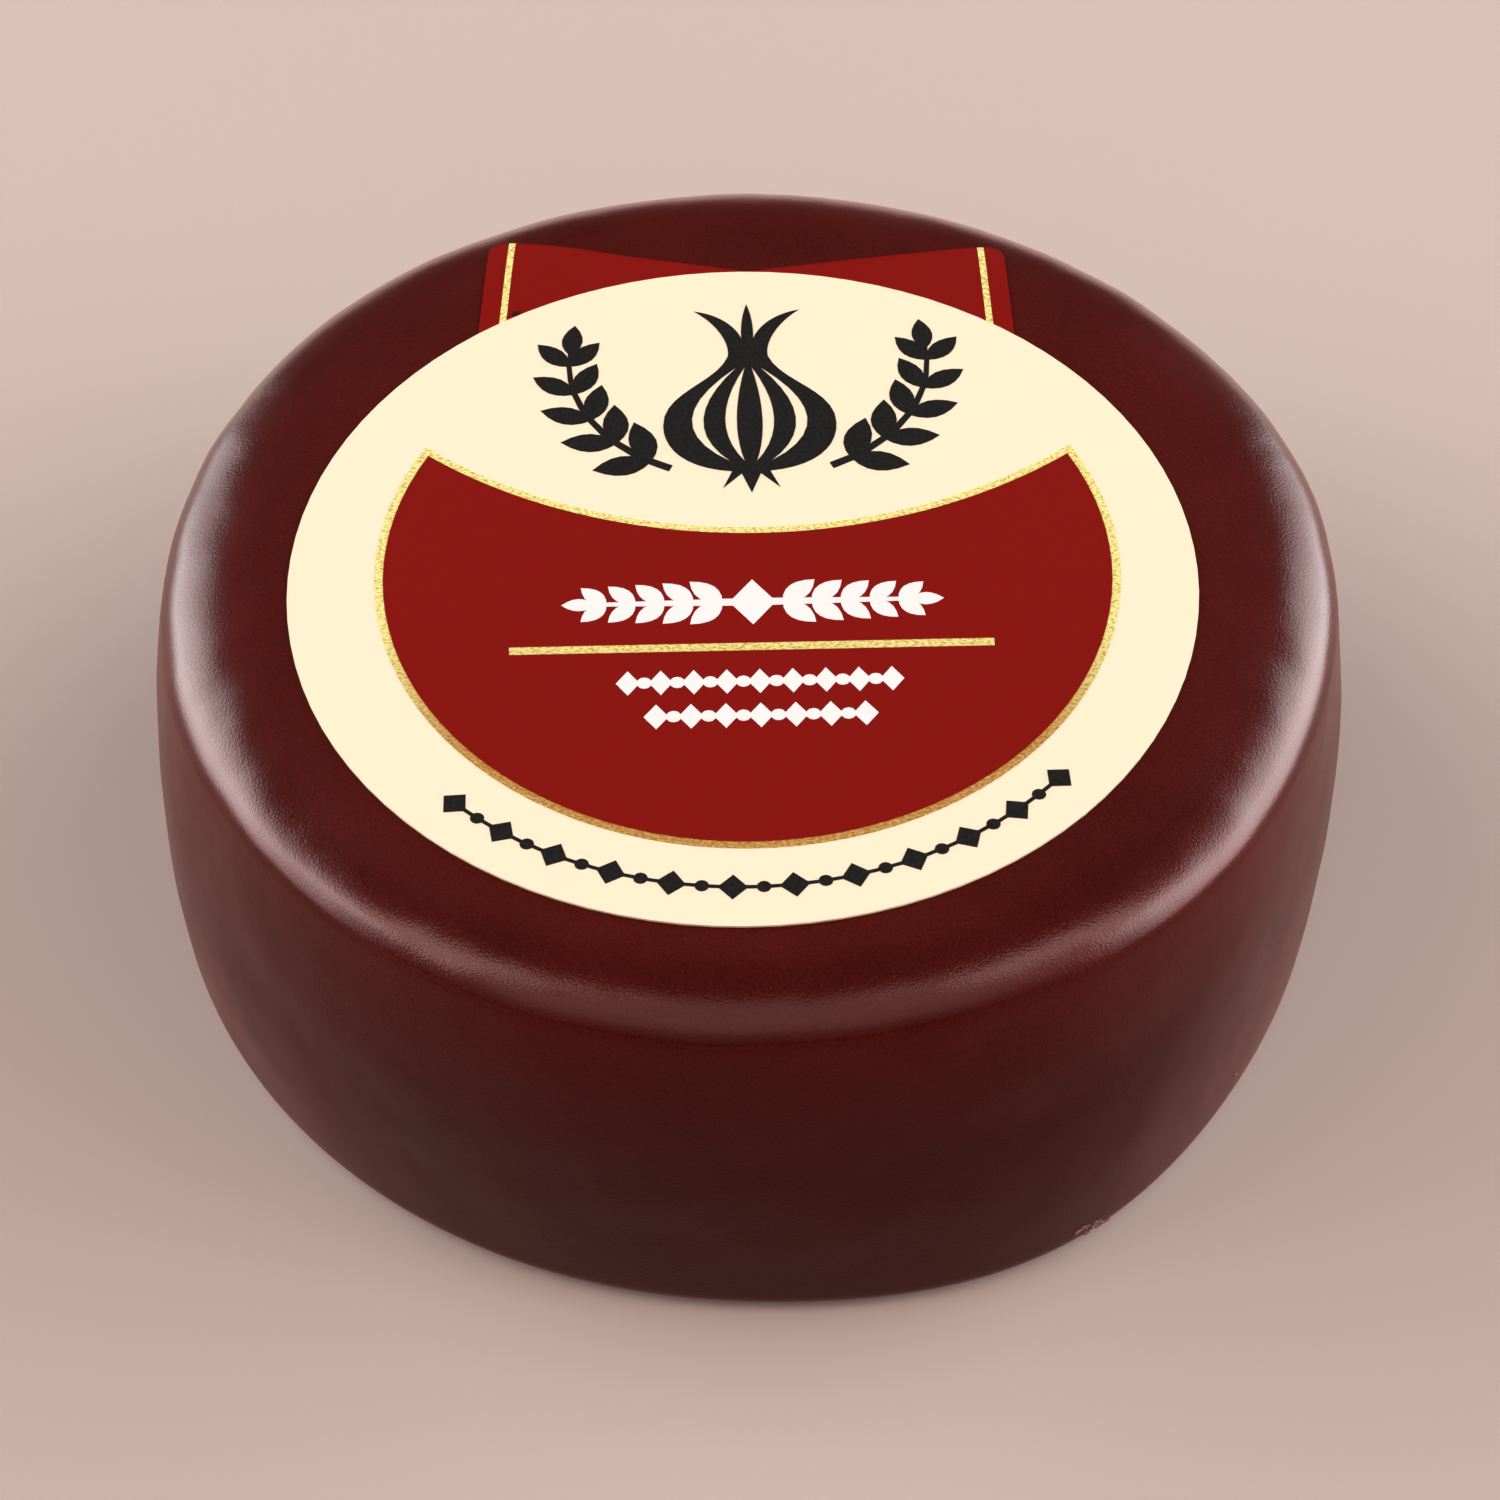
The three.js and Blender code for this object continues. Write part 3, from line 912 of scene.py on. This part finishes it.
class CHEESE_OT_wax_coat(bpy.types.Operator):
    """Model the dipped wax drum with its rounded shoulder, slow hollows and small lumps"""

    bl_idname = "cheese.wax_coat"
    bl_label = "Wax Coat"

    def execute(self, context):
        settings = context.scene.wax_coat
        coat = raise_drum(drum_profile())
        for vertex in coat.data.vertices:
            x, y, z = vertex.co
            scale = outline_scale(x, y, z)
            vertex.co = Vector((x * scale, y * scale, z)) + AXIS
        apply_modifier(coat, "Smooth wax", "SUBSURF", levels=2, render_levels=2)
        edit_all(coat)
        bpy.ops.mesh.fill_holes(sides=0)
        bpy.ops.mesh.select_all(action="SELECT")
        bpy.ops.mesh.normals_make_consistent(inside=False)
        bpy.ops.object.mode_set(mode="OBJECT")
        relief = coat.vertex_groups.new(name="relief")
        for vertex in coat.data.vertices:
            relief.add([vertex.index], relief_weight(vertex.co), "REPLACE")
        for name, depth, size in (
            ("Broad dents", settings.broad_dent, settings.broad_dent_size),
            ("Small lumps", settings.small_lump, settings.small_lump_size),
        ):
            apply_modifier(
                coat,
                name,
                "DISPLACE",
                texture=clouds(name, size),
                texture_coords="LOCAL",
                strength=depth,
                mid_level=0.5,
                vertex_group="relief",
            )
        coat.vertex_groups.clear()
        bpy.ops.object.shade_smooth()
        finish_piece(coat, "wax_coat", "red_wax", dipped_cheese_wax(settings), "waxed_cheese")
        return {"FINISHED"}


# The label and its print

PRINT_NODES = {
    "round_label": "cream",
    "foil_crescent": "foil",
    "foil_rule": "foil",
    "red_field": "red",
    "emblem_bulb": "black",
    "emblem_sprig_left": "black",
    "emblem_sprig_right": "black",
    "arc_row": "black",
    "divider": "white",
    "upper_row": "white",
    "lower_row": "white",
}


class CHEESE_OT_label(bpy.types.Operator):
    """Give the round label and everything printed on it their paper, ink and foil"""

    bl_idname = "cheese.label"
    bl_label = "Round Label"

    def execute(self, context):
        settings = context.scene.label
        finishes = {
            "cream": uncoated_label_paper("cream_uncoated_paper", settings.cream),
            "foil": gold_foil_print(settings),
            "red": uncoated_label_paper("red_printed_paper", settings.red),
            "black": printed_ink("black_offset_ink", settings.black),
            "white": printed_ink("white_offset_ink", settings.white),
        }
        for name, finish in PRINT_NODES.items():
            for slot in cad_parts[name].material_slots:
                slot.material = finishes[finish]
        return {"FINISHED"}


# The tab behind the label, in the drum's own plan: its inner end lies under the label, its sides
# run out to two tips, and a notch lies between them

TAB_INNER_Y = 20.5 * MM
TAB_INNER_HALF = 20.35 * MM
TAB_NOTCH = Vector((0.05, 30.35)) * MM
TAB_TIPS = (Vector((-19.7, 34.6)) * MM, Vector((19.9, 33.4)) * MM)
# The sheet that it is cut from reaches this far past it
TAB_SPARE = 1 * MM
TAB_REACH = TAB_INNER_HALF + TAB_SPARE
TAB_FAR_Y = max(tip.y for tip in TAB_TIPS) + TAB_SPARE
TAB_MIDDLE = Vector((0, TAB_INNER_Y))
TAB_SIDES = ((-1, TAB_TIPS[0], "left"), (1, TAB_TIPS[1], "right"))

# A cut keeps apart what is further than this from its plane
CUT_THRESHOLD = 1e-7
# A corner of the sheet is a tip if it lies this close to one
TIP_REACH = 0.05 * MM
# Each rounded tip is a bend in this many steps
TIP_STEPS = 6
# The flat sheet is dropped onto the wax from this far above it
DROP_FROM = 5 * MM
# Edges of the paper that turn by less than this are shaded smooth
SMOOTH_BELOW = math.radians(40)


def flat_sheet():
    """A flat rectangle in edit mode that the tab and its foil lines are cut from."""
    start_piece()
    bpy.ops.mesh.primitive_plane_add(size=1, location=(0, 0, 0))
    sheet = bpy.context.object
    edit_all(sheet)
    size = (2 * TAB_REACH, TAB_FAR_Y - TAB_INNER_Y, 1)
    bpy.ops.transform.resize(value=size, center_override=(0, 0, 0))
    bpy.ops.transform.translate(value=(0, (TAB_FAR_Y + TAB_INNER_Y) / 2, 0))
    return sheet


def cut(start, normal, drop_outer=False):
    """Cuts the whole flat mesh in edit mode by an upright plane."""
    bpy.ops.mesh.select_all(action="SELECT")
    bpy.ops.mesh.bisect(
        plane_co=(*start, 0),
        plane_no=(*normal, 0),
        clear_outer=drop_outer,
        threshold=CUT_THRESHOLD,
    )


def cut_beyond(start, end, kept):
    """Cuts a flat mesh along a line, and drops what lies across it from a kept point."""
    along = (end - start).normalized()
    normal = Vector((-along.y, along.x))
    if normal.dot(kept - start) > 0:
        normal = -normal
    cut(start, normal, drop_outer=True)


def slice_sheet(low, high, normal, step):
    """Cuts a flat mesh between two corners by parallel planes, so that it can bend."""
    count = math.ceil((high - low).dot(normal) / step)
    for i in range(1, count):
        cut(between(low, high, i / count), normal)


def beyond_notch(place):
    """Whether a place lies in the notch of the tab or past its tips."""
    tip = TAB_TIPS[0] if place.x < TAB_NOTCH.x else TAB_TIPS[1]
    slope = (tip.y - TAB_NOTCH.y) / (tip.x - TAB_NOTCH.x)
    return place.y > TAB_NOTCH.y + slope * (place.x - TAB_NOTCH.x)


def cut_tab(corner):
    """The tab's flat outline in edit mode, its two tips rounded."""
    tab = flat_sheet()
    for side, tip, _ in TAB_SIDES:
        cut_beyond(Vector((side * TAB_INNER_HALF, TAB_INNER_Y)), tip, TAB_MIDDLE)
    cut(TAB_NOTCH, (1, 0))
    for tip in TAB_TIPS:
        along = (tip - TAB_NOTCH).normalized()
        cut(TAB_NOTCH, (-along.y, along.x))
    bpy.ops.mesh.select_all(action="DESELECT")
    bpy.ops.object.mode_set(mode="OBJECT")
    for face in tab.data.polygons:
        face.select = beyond_notch(face.center)
    bpy.ops.object.mode_set(mode="EDIT")
    bpy.ops.mesh.delete(type="FACE")
    bpy.ops.mesh.select_all(action="DESELECT")
    bpy.ops.object.mode_set(mode="OBJECT")
    for vertex in tab.data.vertices:
        vertex.select = any((vertex.co.xy - tip).length < TIP_REACH for tip in TAB_TIPS)
    bpy.ops.object.mode_set(mode="EDIT")
    bpy.ops.mesh.bevel(offset=corner, segments=TIP_STEPS, affect="VERTICES", profile=0.5)
    return tab


def cut_foil_line(side, tip, settings):
    """The flat outline in edit mode of the foil line beside one side of the tab."""
    near = Vector((side * TAB_INNER_HALF, TAB_INNER_Y))
    along = (tip - near).normalized()
    inward = Vector((-side * along.y, side * along.x))
    outer = near + inward * (settings.foil_inset - settings.foil_width / 2)
    inner = outer + inward * settings.foil_width
    line = flat_sheet()
    cut_beyond(outer, outer + along, inner)
    cut_beyond(inner, inner + along, outer)
    cut_beyond(TAB_NOTCH, tip, TAB_MIDDLE)
    return line


def lay_on_wax(piece, lift, thickness):
    """Moves a flat mesh to the drum, drops it onto the wax and gives it its thickness upwards."""
    bpy.ops.mesh.select_all(action="SELECT")
    bpy.ops.transform.translate(value=AXIS + Vector((0, 0, HEIGHT + DROP_FROM)))
    bpy.ops.object.mode_set(mode="OBJECT")
    apply_modifier(
        piece,
        "Drape",
        "SHRINKWRAP",
        target=bpy.data.objects["wax_coat"],
        wrap_method="PROJECT",
        use_project_z=True,
        use_negative_direction=True,
        use_positive_direction=False,
    )
    edit_all(piece)
    bpy.ops.transform.translate(value=(0, 0, lift))
    bpy.ops.object.mode_set(mode="OBJECT")
    apply_modifier(piece, "Paper", "SOLIDIFY", thickness=thickness, offset=1.0)


class CHEESE_OT_back_tab(bpy.types.Operator):
    """Model the swallow-tailed paper tab that lies over the shoulder, and its two foil lines"""

    bl_idname = "cheese.back_tab"
    bl_label = "Back Tab"

    def execute(self, context):
        settings = context.scene.back_tab
        left, right = Vector((-TAB_REACH, 0)), Vector((TAB_REACH, 0))
        near, far = TAB_MIDDLE, Vector((0, TAB_FAR_Y))
        tab = cut_tab(settings.corner)
        slice_sheet(left, right, Vector((1, 0)), settings.cut_step)
        slice_sheet(near, far, Vector((0, 1)), settings.cut_step)
        lay_on_wax(tab, GLUE, TAB_PAPER)
        bpy.ops.object.shade_smooth_by_angle(angle=SMOOTH_BELOW)
        paper = bpy.data.materials["red_printed_paper"]
        finish_piece(tab, "paper_tab", "red_paper", paper, "back_tab")
        foil = bpy.data.materials["gold_foil_print"]
        for side, tip, name in TAB_SIDES:
            line = cut_foil_line(side, tip, settings)
            slice_sheet(near, far, Vector((0, 1)), settings.cut_step / 2)
            lay_on_wax(line, GLUE + TAB_PAPER, PRINT)
            finish_piece(line, "foil_line_" + name, "gold_foil", foil, "tab_foil_" + name)
        return {"FINISHED"}


# The small marks

# Torn flakes of wax lie in a strip along the foot, between two directions from the drum's axis in
# degrees. The strip grows lower from its near to its far end. One more flake lies alone
STRIP_TOWARD = (-60.0, -56.2)
STRIP_LOW = 1.45 * MM
STRIP_TALL = (1.25 * MM, 0.25 * MM)
LONE_FLAKE = (-37.4, 3.83 * MM)
FLAKE_LENGTH = 0.48 * MM
FLAKE_TALL = 0.35 * MM
FLAKE_VARIES = (0.72, 1.28)
FLAKE_SEED = 5
# How wide the lumps of a ragged skin are
RAGGED_SIZE = 0.25 * MM
# A drip of wax on the tab beside its left foil line
DRIP_PLACE = Vector((-17.45 * MM, 25.85 * MM, HEIGHT + GLUE + TAB_PAPER))
DRIP_SIZE = (0.9 * MM, 0.5 * MM, 0.26 * MM)
DRIP_TOWARD = 20
DRIP_RAGGEDNESS = 0.03 * MM


def ragged_lump(name, size, raggedness):
    """A lump of wax with a ragged skin, round the origin, of a given length, depth and height."""
    start_piece()
    bpy.ops.mesh.primitive_ico_sphere_add(subdivisions=3, radius=0.5, location=(0, 0, 0))
    lump = bpy.context.object
    edit_all(lump)
    bpy.ops.transform.resize(value=size, center_override=(0, 0, 0))
    bpy.ops.object.mode_set(mode="OBJECT")
    texture = clouds(name, RAGGED_SIZE)
    apply_modifier(lump, "Ragged", "DISPLACE", texture=texture, strength=raggedness, mid_level=0.5)
    bpy.ops.object.shade_smooth()
    return lump


def set_down(lump, place, toward, scale=(1, 1, 1)):
    """Scales a lump, turns its length towards a direction in degrees, and moves it to its place."""
    edit_all(lump)
    bpy.ops.transform.resize(value=scale, center_override=(0, 0, 0))
    turn = -math.radians(toward)
    bpy.ops.transform.rotate(value=turn, orient_axis="Z", center_override=(0, 0, 0))
    bpy.ops.transform.translate(value=place)
    bpy.ops.object.mode_set(mode="OBJECT")


class CHEESE_OT_marks(bpy.types.Operator):
    """Model the torn flakes of wax at the foot and the drip of wax on the tab"""

    bl_idname = "cheese.marks"
    bl_label = "Small Marks"

    def execute(self, context):
        settings = context.scene.marks
        coat = bpy.data.objects["wax_coat"]
        chance = random.Random(FLAKE_SEED)
        places = [LONE_FLAKE]
        for i in range(settings.flakes):
            share = i / (settings.flakes - 1)
            height = STRIP_LOW + chance.uniform(0, between(*STRIP_TALL, share))
            places.append((between(*STRIP_TOWARD, share), height))
        size = (FLAKE_LENGTH, settings.flake_depth, FLAKE_TALL)
        pattern = ragged_lump("flake", size, settings.raggedness)
        flakes = []
        for toward, height in places:
            select_pieces([pattern])
            bpy.ops.object.duplicate()
            turn = math.radians(toward)
            outside = Vector((MID_RADIUS * math.cos(turn), MID_RADIUS * math.sin(turn), height))
            on_wax = coat.closest_point_on_mesh(outside + AXIS)[1]
            scale = (chance.uniform(*FLAKE_VARIES), 1, chance.uniform(*FLAKE_VARIES))
            flakes.append(context.object)
            set_down(context.object, on_wax, toward + 90, scale)
        bpy.data.objects.remove(pattern)
        select_pieces(flakes)
        bpy.ops.object.join()
        finish_piece(flakes[0], "torn_wax_flakes", "red_wax", torn_cheese_wax())
        drip = ragged_lump("drip", DRIP_SIZE, DRIP_RAGGEDNESS)
        set_down(drip, DRIP_PLACE + AXIS, DRIP_TOWARD)
        finish_piece(drip, "wax_drip", "red_wax", bpy.data.materials["dipped_cheese_wax"])
        return {"FINISHED"}


# The stage

FLOOR_SIZE = 6.0
CAMERA_PLACE = Vector((0.0, -201.7, 234.71)) * MM
CAMERA_PITCH = 48.11
CAMERA_ROLL = -0.587
CAMERA_LENS = 96.0
SENSOR = 36.0

# The side lights are upright panels 1 m away, nested so that their brightness fades at the edges.
# Each has a near and a far azimuth in degrees from straight behind, and a lower and an upper edge
# in degrees above the table: the widest panel and the narrowest, first for the left side
SIDE_LAYERS = 3
SIDE_PANELS = (
    ("left", -1, (31, 114, 2, 47), (53, 90, 13, 34)),
    ("right", 1, (33, 122, 1, 46), (53, 104, 8, 32)),
)
# The panels that carry the highlight on towards the front are dimmer
FRONT_SIDE_PANEL = (94, 117, 35, 72)
FRONT_SIDE_SHARE = 0.35
# The large dim panels over the front, each with its lower and upper edge in degrees above the table
# and its width in metres
FRONT_DISTANCE = 1.15
FRONT_PANELS = ((10, 84, 4.0), (36, 82, 1.8))
FRONT_TINT = "#ffdcd2"


def softbox(name, place, facing, size, radiance, colour="#ffffff"):
    """A rectangular light, given by its middle, the way it faces, its size and its radiance."""
    data = bpy.data.lights.new(name, "AREA")
    data.shape = "RECTANGLE"
    data.size, data.size_y = size
    data.energy = radiance * math.pi * size[0] * size[1]
    data.color = linear(colour)[:3]
    light = bpy.data.objects.new(name, data)
    bpy.context.scene.collection.objects.link(light)
    light.location = place
    light.rotation_euler = (-facing).to_track_quat("Z", "Y").to_euler()


def upright_panel(name, side, edges, radiance, colour="#ffffff"):
    """A softbox that stands upright 1 m away, on the left (-1) or the right (1)."""
    near, far, low, high = (math.radians(edge) for edge in edges)
    outward = Vector((side * math.sin((near + far) / 2), math.cos((near + far) / 2), 0))
    size = (2 * math.tan((far - near) / 2), math.tan(high) - math.tan(low))
    place = outward + Vector((0, 0, (math.tan(high) + math.tan(low)) / 2))
    softbox(name, place, -outward, size, radiance, colour)


def hang_lights(settings):
    """Hangs the side panels and the large front panels, and lights the room dimly."""
    for flank, side, widest, narrowest in SIDE_PANELS:
        for i in range(SIDE_LAYERS):
            share = i / (SIDE_LAYERS - 1)
            edges = [between(wide, narrow, share) for wide, narrow in zip(widest, narrowest)]
            name = f"{flank}_panel_{i + 1}"
            upright_panel(name, side, edges, settings.side_radiance / SIDE_LAYERS)
        dimmer = settings.side_radiance * FRONT_SIDE_SHARE
        upright_panel(f"{flank}_front_panel", side, FRONT_SIDE_PANEL, dimmer, FRONT_TINT)
    for i, (low, high, width) in enumerate(FRONT_PANELS):
        tilt = math.radians((low + high) / 2)
        place = FRONT_DISTANCE * Vector((0, -math.cos(tilt), math.sin(tilt)))
        size = (width, 2 * FRONT_DISTANCE * math.tan(math.radians(high - low) / 2))
        radiance = settings.front_radiance / len(FRONT_PANELS)
        softbox(f"front_panel_{i + 1}", place, -place, size, radiance, FRONT_TINT)
    world = bpy.data.worlds.new("soft_room")
    world.use_nodes = True
    background = world.node_tree.nodes["Background"]
    background.inputs["Color"].default_value = linear("#ffffff")
    background.inputs["Strength"].default_value = settings.room_radiance
    bpy.context.scene.world = world


def set_camera():
    """Stands the camera where the photograph was taken from."""
    data = bpy.data.cameras.new("camera")
    data.lens = CAMERA_LENS
    data.sensor_width = SENSOR
    camera = bpy.data.objects.new("camera", data)
    bpy.context.scene.collection.objects.link(camera)
    tilt = Matrix.Rotation(math.radians(90 - CAMERA_PITCH), 4, "X")
    roll = Matrix.Rotation(math.radians(CAMERA_ROLL), 4, "Z")
    camera.matrix_world = Matrix.Translation(CAMERA_PLACE + AXIS) @ tilt @ roll
    bpy.context.scene.camera = camera
    bpy.context.scene.view_settings.view_transform = "Standard"


class CHEESE_OT_studio(bpy.types.Operator):
    """Set the pale floor, the soft lights and the camera"""

    bl_idname = "cheese.studio"
    bl_label = "Studio"

    def execute(self, context):
        settings = context.scene.studio
        start_piece()
        bpy.ops.mesh.primitive_plane_add(size=FLOOR_SIZE, location=(0, 0, 0))
        floor = context.object
        floor.name = "pale_floor"
        floor.data.materials.append(matte_board(settings))
        hang_lights(settings)
        set_camera()
        return {"FINISHED"}


# The steps in their order: each operator, the name of its settings and their class
STEPS = (
    (CHEESE_OT_wax_coat, "wax_coat", WaxCoatSettings),
    (CHEESE_OT_label, "label", LabelSettings),
    (CHEESE_OT_back_tab, "back_tab", TabSettings),
    (CHEESE_OT_marks, "marks", MarkSettings),
    (CHEESE_OT_studio, "studio", StudioSettings),
)


class CHEESE_PT_panel(bpy.types.Panel):
    bl_label = "Waxed Cheese Wheel"
    bl_idname = "CHEESE_PT_panel"
    bl_space_type = "VIEW_3D"
    bl_region_type = "UI"
    bl_category = "Cheese"

    def draw(self, context):
        for operator, group, _ in STEPS:
            box = self.layout.box()
            box.operator(operator.bl_idname)
            settings = getattr(context.scene, group)
            for name in settings.__annotations__:
                box.prop(settings, name)


def register():
    for operator, group, settings in STEPS:
        bpy.utils.register_class(settings)
        setattr(bpy.types.Scene, group, PointerProperty(type=settings))
        bpy.utils.register_class(operator)
    bpy.utils.register_class(CHEESE_PT_panel)


def unregister():
    bpy.utils.unregister_class(CHEESE_PT_panel)
    for operator, group, settings in reversed(STEPS):
        bpy.utils.unregister_class(operator)
        delattr(bpy.types.Scene, group)
        bpy.utils.unregister_class(settings)


def main():
    register()
    bpy.ops.cheese.wax_coat()
    bpy.ops.cheese.label()
    bpy.ops.cheese.back_tab()
    bpy.ops.cheese.marks()
    bpy.ops.cheese.studio()


if __name__ == "__main__":
    main()
